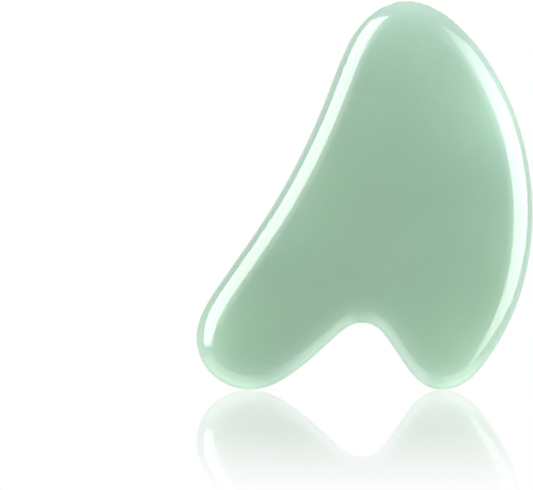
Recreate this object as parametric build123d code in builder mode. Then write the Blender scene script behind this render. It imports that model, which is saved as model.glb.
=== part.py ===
"""Gua sha scraper: a hand-held massage plate, cut and polished from one slab of green stone.

The plate stands upright in its own frame. X runs across it, Y through its thickness and Z up,
with the origin midway between the two faces, on the plane that both lobes touch.
"""

from build123d import *

import math
import os

# Driving dimensions, in millimetres
thickness = 6.0  # between the two flat faces
roll_width = 6.0  # how far the rounded edge runs in from the rim, seen from the front
section_step = 7.5  # degrees round the edge's half ellipse between two lofted sections
stations = 72  # places round the plate where each section follows the rim

# The rim, clockwise as seen from the front, as (across, up)
head = [(1.0, 81.7), (9.0, 85.0), (16.5, 82.8)]
long_convex_side = [(25.0, 74.7), (32.6, 61.0), (36.7, 40.0), (33.8, 20.0)]
short_lobe = [(26.4, 6.0), (21.5, 1.2), (17.2, 0.0), (12.9, 1.2)]
notch = [(8.9, 5.4), (4.8, 11.4), (1.9, 14.1), (-2.0, 14.4), (-6.3, 11.6), (-13.8, 5.0)]
long_lobe = [(-25.0, 0.0), (-33.7, 3.7), (-36.7, 11.0)]
long_concave_side = [(-31.2, 23.7), (-20.0, 40.2), (-8.9, 62.4), (-4.7, 73.0)]

with BuildLine():
    rim = Spline(
        *head,
        *long_convex_side,
        *short_lobe,
        *notch,
        *long_lobe,
        *long_concave_side,
        periodic=True,
    )


def parallel_points(inset):
    """Points on the line that runs inside the rim at a fixed distance from it."""
    points = []
    for station in range(stations):
        along = station / stations
        tangent = rim.tangent_at(along)
        inward = Vector(tangent.Y, -tangent.X)
        points.append(rim.position_at(along) + inward * inset)
    return points


# The edge is half an ellipse from the back face, round the rim, to the front face. A step much
# over ten degrees lets the loft swell past the two faces.
section_angles = [-90 + section_step * i for i in range(round(180 / section_step) + 1)]

with BuildPart() as scraper:
    for angle in section_angles:
        towards_front = thickness / 2 * math.sin(math.radians(angle))
        inset = roll_width * (1 - math.cos(math.radians(angle)))
        with BuildSketch(Plane.XZ.offset(towards_front)):
            with BuildLine():
                Spline(*parallel_points(inset), periodic=True)
            make_face()
    loft()

scraper.part.label = "scraper"

os.makedirs("parts", exist_ok=True)
export_step(scraper.part, "parts/scraper.step")
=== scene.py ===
"""Looks of the gua sha scraper: one polished, slightly translucent plate of green stone.

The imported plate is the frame. A finer mesh of the same form stands for it, and carries the stone.
X runs across the plate, Y through its thickness and Z up. Lengths are in metres, apart from the
points of the outline.
"""

import math

import bpy
import numpy as np
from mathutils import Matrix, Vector
from mathutils.geometry import delaunay_2d_cdt


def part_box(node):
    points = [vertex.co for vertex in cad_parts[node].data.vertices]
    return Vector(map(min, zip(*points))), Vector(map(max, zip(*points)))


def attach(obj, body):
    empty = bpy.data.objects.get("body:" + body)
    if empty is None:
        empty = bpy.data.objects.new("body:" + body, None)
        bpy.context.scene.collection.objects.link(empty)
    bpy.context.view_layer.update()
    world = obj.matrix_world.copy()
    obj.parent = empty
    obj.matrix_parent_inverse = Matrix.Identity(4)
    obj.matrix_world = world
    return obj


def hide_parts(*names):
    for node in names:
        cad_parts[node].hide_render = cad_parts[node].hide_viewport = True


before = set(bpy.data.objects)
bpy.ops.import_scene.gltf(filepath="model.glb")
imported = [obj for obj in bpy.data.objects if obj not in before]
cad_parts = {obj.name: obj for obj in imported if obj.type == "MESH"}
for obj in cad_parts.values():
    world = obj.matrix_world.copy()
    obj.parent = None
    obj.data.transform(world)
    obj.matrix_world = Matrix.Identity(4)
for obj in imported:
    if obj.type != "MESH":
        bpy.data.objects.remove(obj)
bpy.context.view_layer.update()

plate_low, plate_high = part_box("scraper")
plate_middle = (plate_low + plate_high) / 2
plate_size = plate_high - plate_low
half_thickness = plate_size.y / 2
MM = 0.001

# The plate's outline, as the CAD part has it, in millimetres
HEAD = [(1.0, 81.7), (9.0, 85.0), (16.5, 82.8)]
LONG_CONVEX_SIDE = [(25.0, 74.7), (32.6, 61.0), (36.7, 40.0), (33.8, 20.0)]
SHORT_LOBE = [(26.4, 6.0), (21.5, 1.2), (17.2, 0.0), (12.9, 1.2)]
NOTCH = [(8.9, 5.4), (4.8, 11.4), (1.9, 14.1), (-2.0, 14.4), (-6.3, 11.6), (-13.8, 5.0)]
LONG_LOBE = [(-25.0, 0.0), (-33.7, 3.7), (-36.7, 11.0)]
LONG_CONCAVE_SIDE = [(-31.2, 23.7), (-20.0, 40.2), (-8.9, 62.4), (-4.7, 73.0)]
ROLL_WIDTH = 6.0 * MM  # how far the rounded edge runs in from the rim

# How finely the visible mesh follows it
STATIONS = 560  # vertices round the rim
CURVE_SAMPLES = 20 * STATIONS  # points on the curve that they are spaced out along
ROLL_STEPS = 24  # rows of faces from the rim to each flat face
FACE_SPACING = 1.3 * MM  # between the vertices inside each flat face
CLEAR_OF_EDGE = 0.7 * FACE_SPACING  # between those vertices and the flat face's boundary
SAME_POINT = 1e-9  # points closer than this are one, when a flat face is triangulated

# How far in from the rim the stone is painted paler: a painted glow that stands for light coming
# through its edge
GLOW_REACH = 3.2 * MM
GLOW_CELL = 0.5 * MM  # of the grid that the glow is worked out on


def closed_spline(points, count):
    """The smooth closed curve through the points, read at evenly spaced chord lengths."""
    after = np.roll(points, -1, axis=0)
    chords = np.hypot(*(after - points).T)
    size = len(points)
    matrix = np.zeros((size, size))
    right = np.zeros((size, 2))
    for i in range(size):
        before, ahead = chords[i - 1], chords[i]
        matrix[i, i - 1] += before
        matrix[i, i] += 2 * (before + ahead)
        matrix[i, (i + 1) % size] += ahead
        right[i] = 6 * ((after[i] - points[i]) / ahead - (points[i] - points[i - 1]) / before)
    bends = np.linalg.solve(matrix, right)
    bends_after = np.roll(bends, -1, axis=0)
    starts = np.concatenate([[0.0], np.cumsum(chords)])
    at = np.linspace(0.0, starts[-1], count, endpoint=False)
    span = np.clip(np.searchsorted(starts, at, side="right") - 1, 0, size - 1)
    left = ((starts[span + 1] - at) / chords[span])[:, None]
    done = 1 - left
    bend = (left**3 - left) * bends[span] + (done**3 - done) * bends_after[span]
    return left * points[span] + done * after[span] + bend * (chords[span] ** 2)[:, None] / 6


def rim_and_outward():
    """Evenly spaced points round the rim, and the direction away from the plate at each."""
    outline = HEAD + LONG_CONVEX_SIDE + SHORT_LOBE + NOTCH + LONG_LOBE + LONG_CONCAVE_SIDE
    fine = closed_spline(np.array(outline) * MM, CURVE_SAMPLES)
    steps = np.hypot(*(np.roll(fine, -1, axis=0) - fine).T)
    along = np.concatenate([[0.0], np.cumsum(steps)])
    closed = np.vstack([fine, fine[:1]])
    at = np.linspace(0.0, along[-1], STATIONS, endpoint=False)
    rim = np.column_stack([np.interp(at, along, closed[:, k]) for k in (0, 1)])
    ahead = np.roll(rim, -1, axis=0) - np.roll(rim, 1, axis=0)
    outward = np.column_stack([-ahead[:, 1], ahead[:, 0]])
    return rim, outward / np.hypot(*outward.T)[:, None]


def inside(points, boundary):
    """Which points lie inside the closed boundary."""
    found = np.zeros(len(points), bool)
    for (x0, z0), (x1, z1) in zip(boundary, np.roll(boundary, -1, axis=0)):
        if z0 == z1:
            continue
        spans = (points[:, 1] < z0) != (points[:, 1] < z1)
        crossing = x0 + (points[:, 1] - z0) * (x1 - x0) / (z1 - z0)
        found ^= spans & (points[:, 0] < crossing)
    return found


def flat_face(boundary):
    """Points inside a flat face, on a triangular grid, and triangles over them and the boundary."""
    low, high = boundary.min(axis=0), boundary.max(axis=0)
    row_height = FACE_SPACING * math.sqrt(3) / 2
    grid = []
    for row in range(int((high[1] - low[1]) / row_height) + 1):
        z = low[1] + row * row_height
        start = low[0] + (row % 2) * FACE_SPACING / 2
        grid += [(x, z) for x in np.arange(start, high[0], FACE_SPACING)]
    grid = np.array(grid)
    grid = grid[inside(grid, boundary)]
    gaps = np.array([np.hypot(*(boundary - point).T).min() for point in grid])
    grid = grid[gaps > CLEAR_OF_EDGE]
    places = [Vector(point) for point in np.vstack([boundary, grid])]
    inside_only = 1  # the triangulation keeps what lies inside the boundary
    made = delaunay_2d_cdt(places, [], [list(range(len(boundary)))], inside_only, SAME_POINT)
    origins = [sources[0] for sources in made[3]]
    return grid, [[origins[corner] for corner in triangle] for triangle in made[2]]


def glow_at(places, rim):
    """How much of the surroundings of each (x, z) place lies outside the rim, from 0 to 1."""
    margin = 4 * GLOW_REACH
    low = rim.min(axis=0) - margin
    columns, rows = ((rim.max(axis=0) + margin - low) / GLOW_CELL).astype(int) + 1
    x, z = np.meshgrid(np.arange(columns), np.arange(rows), indexing="ij")
    cells = low + GLOW_CELL * np.column_stack([x.ravel(), z.ravel()])
    outside = 1.0 - inside(cells, rim).reshape(columns, rows)
    reach = int(3 * GLOW_REACH / GLOW_CELL)
    weights = np.exp(-0.5 * (np.arange(-reach, reach + 1) * GLOW_CELL / GLOW_REACH) ** 2)
    weights /= weights.sum()
    for axis in (0, 1):
        outside = np.apply_along_axis(np.convolve, axis, outside, weights, mode="same")
    at = (places - low) / GLOW_CELL
    cell = at.astype(int)
    across, up = (at - cell).T
    column, row = cell.T
    lower = (1 - across) * outside[column, row] + across * outside[column + 1, row]
    upper = (1 - across) * outside[column, row + 1] + across * outside[column + 1, row + 1]
    return (1 - up) * lower + up * upper


def rolled_edge(rim, outward):
    """Places and normals in rows round the edge, from the back face to the front, and its faces."""
    places, normals, faces = [], [], []
    for row in range(2 * ROLL_STEPS + 1):
        turn = math.radians(90 * (row / ROLL_STEPS - 1))
        inset = ROLL_WIDTH * (1 - math.cos(turn))
        flat = rim - outward * inset
        depth = np.full(STATIONS, plate_middle.y - half_thickness * math.sin(turn))
        places.append(np.column_stack([flat[:, 0], depth, flat[:, 1]]))
        lean = np.array([math.cos(turn) / ROLL_WIDTH, -math.sin(turn) / half_thickness])
        lean /= np.hypot(*lean)
        tilt = np.full(STATIONS, lean[1])
        normals.append(np.column_stack([outward[:, 0] * lean[0], tilt, outward[:, 1] * lean[0]]))
    for row in range(2 * ROLL_STEPS):
        for station in range(STATIONS):
            beside = (station + 1) % STATIONS
            low, high = row * STATIONS, (row + 1) * STATIONS
            faces.append([low + station, high + station, high + beside, low + beside])
    return places, normals, faces


def make_plate():
    """The plate: its rolled edge, and a triangulated flat face on each side of it."""
    rim, outward = rim_and_outward()
    places, normals, faces = rolled_edge(rim, outward)
    grid, triangles = flat_face(rim - outward * ROLL_WIDTH)
    count = len(places) * STATIONS
    for side, ring in ((1, 0), (-1, 2 * ROLL_STEPS * STATIONS)):
        depth = np.full(len(grid), plate_middle.y + side * half_thickness)
        places.append(np.column_stack([grid[:, 0], depth, grid[:, 1]]))
        normals.append(np.tile([0.0, float(side), 0.0], (len(grid), 1)))
        for triangle in triangles:
            corners = [ring + c if c < STATIONS else count + c - STATIONS for c in triangle]
            faces.append(corners[::-side])
        count += len(grid)

    places = np.vstack(places)
    mesh = bpy.data.meshes.new("scraper_stone")
    mesh.from_pydata(places.tolist(), [], faces)
    mesh.validate()
    # The mask of the painted edge glow: how much of each vertex's surroundings lies outside the rim
    glow = mesh.attributes.new("glow", "FLOAT", "POINT")
    glow.data.foreach_set("value", glow_at(places[:, [0, 2]], rim).astype(np.float32))
    mesh.shade_smooth()
    mesh.normals_split_custom_set_from_vertices(np.vstack(normals).tolist())
    plate = bpy.data.objects.new("scraper_stone", mesh)
    bpy.context.scene.collection.objects.link(plate)
    return plate


class Nodes:
    """Short names for making and joining shader nodes."""

    def __init__(self, tree):
        self.tree = tree
        tree.nodes.clear()

    def feed(self, place, value):
        """Join another node's output to this input, or give it a plain value."""
        if isinstance(value, bpy.types.NodeSocket):
            self.tree.links.new(value, place)
        else:
            place.default_value = value

    def add(self, kind, inputs=None, **settings):
        node = self.tree.nodes.new(kind)
        for name, value in settings.items():
            setattr(node, name, value)
        for name, value in (inputs or {}).items():
            self.feed(node.inputs[name], value)
        return node

    def math(self, operation, *values, **settings):
        inputs = dict(enumerate(values))
        return self.add("ShaderNodeMath", inputs, operation=operation, **settings).outputs[0]

    def noise(self, where, scale, detail=2.0, roughness=0.5, distortion=0.0):
        inputs = {"Vector": where, "Scale": scale, "Detail": detail}
        inputs.update({"Roughness": roughness, "Distortion": distortion})
        return self.add("ShaderNodeTexNoise", inputs).outputs["Fac"]

    def ramp(self, value, low, high, start=0.0, end=1.0):
        """Goes smoothly from start to end, while the value goes from low to high."""
        inputs = {"Value": value, "From Min": low, "From Max": high, "To Min": start, "To Max": end}
        node = self.add("ShaderNodeMapRange", inputs, interpolation_type="SMOOTHSTEP")
        return node.outputs["Result"]

    def mix(self, share, first, second):
        """The first colour, with a share of the second mixed in."""
        inputs = {0: share, 6: first, 7: second}  # the colour inputs of this node
        return self.add("ShaderNodeMix", inputs, data_type="RGBA").outputs[2]


WHITE = (1.0, 1.0, 1.0, 1.0)
GREEN = (0.273, 0.444, 0.314, 1.0)  # the stone's body
BLUISH = (0.265, 0.431, 0.325, 1.0)  # the cooler patches
BLUISH_SHARE = 0.6  # the most of it that is mixed in
PALE = (0.335, 0.512, 0.382, 1.0)  # the lighter clouds
PALE_SHARE = 0.30
WISP = (0.370, 0.548, 0.415, 1.0)  # thin pale wisps
WISP_SHARE = 0.16
PAINTED_EDGE_GLOW = (0.455, 0.612, 0.510, 1.0)  # painted glow: the paler colour that stands for light coming through the edge
EDGE_GAIN = 1.5  # how fast it takes over towards the edge
PAINTED_RIM_GLOW = (0.385, 0.545, 0.400, 1.0)  # at the very rim the painted glow is a little darker again
WAVE_HEIGHT = 0.04 * MM  # of the polish
SCUFFS = 0.005  # the height of the fine scuffs, as a share of the waves'
SCATTER_REACH = 5.0 * MM  # how far light spreads inside the stone


def stone_material():
    """Polished green stone: cloudy, with faint wisps and grains, a painted glow that is paler
    towards the edge, and an even glassy polish.
    """
    material = bpy.data.materials.new("green_stone")
    material.use_nodes = True
    nodes = Nodes(material.node_tree)
    where = nodes.add("ShaderNodeTexCoord").outputs["Object"]

    clouds = nodes.noise(where, scale=38.0, detail=3.0, roughness=0.45, distortion=0.4)
    clouds = nodes.ramp(clouds, 0.42, 0.72)
    cool = nodes.ramp(nodes.noise(where, scale=24.0, detail=1.0, roughness=0.4), 0.48, 0.66)
    wisps = nodes.noise(where, scale=95.0, detail=5.0, roughness=0.6, distortion=1.6)
    wisps = nodes.ramp(wisps, 0.55, 0.80)
    colour = nodes.mix(nodes.math("MULTIPLY", cool, BLUISH_SHARE), GREEN, BLUISH)
    colour = nodes.mix(nodes.math("MULTIPLY", clouds, PALE_SHARE), colour, PALE)
    colour = nodes.mix(nodes.math("MULTIPLY", wisps, WISP_SHARE), colour, WISP)
    # Painted glow: near the rim the base colour is mixed towards a paler green that stands for
    # light coming through the edge, and a little darker again at the very rim
    painted_glow_mask = nodes.add("ShaderNodeAttribute", attribute_name="glow").outputs["Fac"]
    colour = nodes.mix(nodes.math("MULTIPLY", painted_glow_mask, EDGE_GAIN, use_clamp=True), colour, PAINTED_EDGE_GLOW)
    colour = nodes.mix(nodes.ramp(painted_glow_mask, 0.36, 0.60), colour, PAINTED_RIM_GLOW)
    grain = nodes.noise(where, scale=2600.0, detail=2.0, roughness=0.6)
    shade = nodes.ramp(grain, 0.3, 0.7, 0.985, 1.015)
    toned = nodes.add("ShaderNodeVectorMath", {0: colour, "Scale": shade}, operation="SCALE")

    haze = nodes.noise(where, scale=160.0, detail=4.0, roughness=0.6)
    roughness = nodes.ramp(haze, 0.35, 0.75, 0.11, 0.14)

    waves = nodes.noise(where, scale=55.0, detail=1.0, roughness=0.4)
    scuffs = nodes.noise(where, scale=900.0, detail=3.0, roughness=0.6)
    height = nodes.math("ADD", waves, nodes.math("MULTIPLY", scuffs, SCUFFS))
    relief = {"Height": height, "Distance": WAVE_HEIGHT, "Strength": 1.0}
    bump = nodes.add("ShaderNodeBump", relief)

    stone = nodes.add(
        "ShaderNodeBsdfPrincipled",
        {
            "Base Color": toned.outputs[0],
            "Roughness": roughness,
            "Normal": bump.outputs["Normal"],
            "IOR": 1.62,
            "Subsurface Weight": 1.0,
            "Subsurface Radius": (1.1, 0.9, 1.2),
            "Subsurface Scale": SCATTER_REACH,
        },
        subsurface_method="RANDOM_WALK",
    )
    nodes.add("ShaderNodeOutputMaterial", {"Surface": stone.outputs[0]})
    return material


plate = make_plate()
plate.data.materials.append(stone_material())
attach(plate, "root")
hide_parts("scraper")


# The stage: a white floor in an even white studio, and the panels and lights round the plate
FLOOR_REACH = 4.0
FLOOR_GAP = 0.02 * MM  # between the floor and the lobes
MIRROR_SHARE = 0.41  # of the mirror image, where it is strongest
MIRROR_FADES_FROM = 0.165  # distance along the floor from the plate at which it starts to fade
MIRROR_ENDS = 0.415  # and at which it is gone
CONTACT_REACH = 6.0 * MM  # how close to the floor something has to be to darken it
CONTACT_SHADE = 0.92  # the floor's brightness where it is fully closed in


def make_floor():
    """A white floor that gives a faint mirror image of the plate, weaker further from it."""
    reach = FLOOR_REACH
    corners = [(-reach, -reach, 0), (reach, -reach, 0), (reach, reach, 0), (-reach, reach, 0)]
    mesh = bpy.data.meshes.new("floor")
    mesh.from_pydata(corners, [], [[0, 1, 2, 3]])
    floor = bpy.data.objects.new("floor", mesh)
    bpy.context.scene.collection.objects.link(floor)
    floor.location.z = -FLOOR_GAP

    material = bpy.data.materials.new("floor")
    material.use_nodes = True
    nodes = Nodes(material.node_tree)
    where = nodes.add("ShaderNodeTexCoord").outputs["Object"]
    distance = nodes.add("ShaderNodeVectorMath", {0: where}, operation="LENGTH").outputs["Value"]
    fade = nodes.ramp(distance, MIRROR_FADES_FROM, MIRROR_ENDS, MIRROR_SHARE, 0.0)
    nearby = nodes.add("ShaderNodeAmbientOcclusion", {"Distance": CONTACT_REACH}, samples=8)
    shade = nodes.ramp(nearby.outputs["AO"], 0.0, 1.0, CONTACT_SHADE, 1.0)
    white = nodes.add("ShaderNodeEmission", {"Color": WHITE, "Strength": shade})
    mirror = nodes.add("ShaderNodeBsdfGlossy", {"Color": WHITE, "Roughness": 0.02})
    shaders = {0: fade, 1: white.outputs[0], 2: mirror.outputs[0]}
    mixed = nodes.add("ShaderNodeMixShader", shaders)
    nodes.add("ShaderNodeOutputMaterial", {"Surface": mixed.outputs[0]})
    mesh.materials.append(material)
    floor.visible_glossy = False
    floor.visible_shadow = False
    floor.visible_diffuse = False


def make_world():
    """An even white studio all round."""
    world = bpy.data.worlds.new("studio")
    bpy.context.scene.world = world
    world.use_nodes = True
    nodes = Nodes(world.node_tree)
    background = nodes.add("ShaderNodeBackground", {"Color": WHITE, "Strength": 1.0})
    nodes.add("ShaderNodeOutputWorld", {"Surface": background.outputs[0]})


def softbox(name, location, width, height, radiance, aim):
    """A soft area light that faces along aim. Its brightness is given as radiance."""
    light = bpy.data.lights.new(name, "AREA")
    light.shape = "RECTANGLE"
    light.size = width
    light.size_y = height
    area = width * height
    light.energy = radiance * math.pi * area
    lamp = bpy.data.objects.new(name, light)
    bpy.context.scene.collection.objects.link(lamp)
    lamp.location = location
    lamp.rotation_euler = Vector(aim).to_track_quat("-Z", "Y").to_euler()
    lamp.visible_camera = False
    return lamp


def glowing(name, location, width, height, radiance, aim):
    """A softbox that lights the stone and isn't seen in the polish."""
    lamp = softbox(name, location, width, height, radiance, aim)
    lamp.visible_glossy = False
    return lamp


def uneven_panel(name, location, corners, axis, near, far, radiance, far_radiance):
    """A lit panel that shows only as a reflection in the polish.

    Its corners are given from its location. Along the axis, its radiance changes between
    the distances near and far from there.
    """
    mesh = bpy.data.meshes.new(name)
    mesh.from_pydata(corners, [], [list(range(len(corners)))])
    material = bpy.data.materials.new(name)
    material.use_nodes = True
    material.cycles.emission_sampling = "NONE"  # reflected rays find it, and it lights nothing
    nodes = Nodes(material.node_tree)
    where = nodes.add("ShaderNodeTexCoord").outputs["Object"]
    along = nodes.add("ShaderNodeSeparateXYZ", {"Vector": where}).outputs[axis]
    strength = nodes.ramp(nodes.math("ABSOLUTE", along), near, far, radiance, far_radiance)
    lit = nodes.add("ShaderNodeEmission", {"Color": WHITE, "Strength": strength})
    nodes.add("ShaderNodeOutputMaterial", {"Surface": lit.outputs[0]})
    mesh.materials.append(material)
    panel = bpy.data.objects.new(name, mesh)
    bpy.context.scene.collection.objects.link(panel)
    panel.location = location
    panel.visible_camera = False
    panel.visible_diffuse = False
    panel.visible_transmission = False
    panel.visible_shadow = False


PANEL_BRIGHTEST = 0.09  # height above the floor at which a side panel is brightest
PANEL_FADE = 0.51  # how far above and below it dims fully
UNDER_DROP = 0.05  # how far the level panels lie below the plate's foot


def side_panel(name, x, corners, radiance, ends=1.0):
    """An upright panel beside the plate. Its top and bottom are dimmed to the share ends.

    Its (y, z) corners are shares of its distance, from the plate's middle.
    """
    distance = abs(x)
    drop = plate_middle.z - PANEL_BRIGHTEST
    places = [(0, y * distance, z * distance + drop) for y, z in corners]
    at = (x, 0, PANEL_BRIGHTEST)
    uneven_panel(name, at, places, "Z", 0.0, PANEL_FADE, radiance, radiance * ends)


def level_panel(name, x, corners, near, far, radiance, far_radiance):
    """A level panel under the plate. Its radiance changes to the left and the right of x."""
    places = [(across, depth, 0) for across, depth in corners]
    at = (x, 0, -UNDER_DROP)
    uneven_panel(name, at, places, "X", near, far, radiance, far_radiance)


UP = (0, 0, 1)
BACK = (0, 1, 0)

# Panels whose reflections make the bright bands along the left and right edges
LEFT_CORNERS = [(-0.68, -0.28), (-0.58, 0.15), (-0.50, 0.55), (-0.50, 1.25), (-1.50, 1.80)]
LEFT_CORNERS += [(-2.50, 2.42), (-3.30, 2.65), (-2.85, 2.00), (-2.75, 0.75), (-2.50, 0.15)]
LEFT_CORNERS += [(-1.60, -0.28)]
LEFT_HALO_CORNERS = [(-2.75, 0.2), (-2.75, 1.8), (-5.5, 3.0), (-5.5, 0.2)]
side_panel("left_panel", -0.6, LEFT_CORNERS, 9.6)
side_panel("left_halo", -0.6, LEFT_HALO_CORNERS, 2.5)
RIGHT_CORNERS = [(-0.28, 0.05), (-0.30, 0.38), (-0.60, 0.85), (-1.45, 1.18), (-1.85, 1.42)]
RIGHT_CORNERS += [(-2.40, 0.95), (-2.58, 0.20), (-1.70, -0.72), (-1.25, -0.84), (-0.50, -0.40)]
RIGHT_HALO_CORNERS = [(-2.40, -0.2), (-2.30, 0.9), (-5.0, 1.8), (-5.0, -0.2)]
side_panel("right_panel", 0.45, RIGHT_CORNERS, 9.4, ends=0.40)
side_panel("right_halo", 0.45, RIGHT_HALO_CORNERS, 2.2)

# A softbox high behind the plate, whose reflection brightens the rim along the top of the head
back_panel = softbox("back_panel", (0, 0.90, 0.46), 0.90, 0.14, 8.0, (0, -0.90, -0.42))
back_panel.visible_diffuse = False
back_panel.visible_transmission = False

# A panel close under the plate makes the pale band round the lobes, dimmer round the notch
UNDER_CORNERS = [(-0.153, 0.0), (0.097, 0.0), (0.097, -0.115), (0.047, -0.080), (0.027, -0.085)]
UNDER_CORNERS += [(-0.003, -0.102), (-0.028, -0.082), (-0.063, -0.095), (-0.103, -0.112)]
UNDER_CORNERS += [(-0.153, -0.180)]
level_panel("under_panel", 0.003, UNDER_CORNERS, 0.006, 0.031, 1.2, 2.85)

# A dim one behind it darkens the reflections round the notch
BEHIND_CORNERS = [(-0.05, 0.0), (0.05, 0.0), (0.05, 0.15), (-0.05, 0.15)]
level_panel("under_gap", 0.0, BEHIND_CORNERS, 0.006, 0.022, 0.2, 1.0)

# The glow of the stone, lit from below and from close in front of its edges. Each light has
# its place, width, height, radiance and direction.
HEAD_TINT = (1.0, 0.88, 1.12)
glowing("low_fill", (0, -0.5, -1.5), 3.2, 3.0, 0.44, UP)
glowing("left_under", (-0.026, -0.006, -0.012), 0.030, 0.012, 0.38, UP)
glowing("right_under", (0.018, -0.006, -0.012), 0.022, 0.012, 0.43, UP)
head = glowing("head_glow", (0.009, -0.022, 0.084), 0.018, 0.015, 2.80, BACK)
head.data.color = HEAD_TINT
shoulder = glowing("shoulder_glow", (0.031, -0.013, 0.066), 0.009, 0.024, 2.05, BACK)
shoulder.data.color = HEAD_TINT
glowing("right_glow", (0.036, -0.014, 0.038), 0.008, 0.050, 1.03, BACK)
glowing("right_lobe_glow", (0.024, -0.016, 0.004), 0.020, 0.014, 1.05, BACK)
glowing("left_lobe_glow", (-0.035, -0.014, 0.012), 0.008, 0.018, 1.65, BACK)
glowing("left_glow", (-0.014, -0.014, 0.055), 0.012, 0.045, 0.30, BACK)

make_floor()
make_world()

# The camera looks square on, from far enough for almost no perspective
CAMERA_DISTANCE = 0.9
CAMERA_ACROSS = -0.2917  # from the plate's middle, as a share of its width
CAMERA_HEIGHT = 0.372  # as a share of the plate's height
SEEN_WIDTH = 0.1165  # across the picture, at the plate
camera_data = bpy.data.cameras.new("camera")
camera = bpy.data.objects.new("camera", camera_data)
bpy.context.scene.collection.objects.link(camera)
camera_x = plate_middle.x + CAMERA_ACROSS * plate_size.x
camera.location = (camera_x, -CAMERA_DISTANCE, CAMERA_HEIGHT * plate_size.z)
camera.rotation_euler = (math.radians(90), 0, 0)
camera_data.lens = camera_data.sensor_width * CAMERA_DISTANCE / SEEN_WIDTH
camera_data.clip_start = 0.05
camera_data.clip_end = 50.0
bpy.context.scene.camera = camera

bpy.context.scene.view_settings.view_transform = "Standard"
bpy.context.scene.view_settings.look = "None"
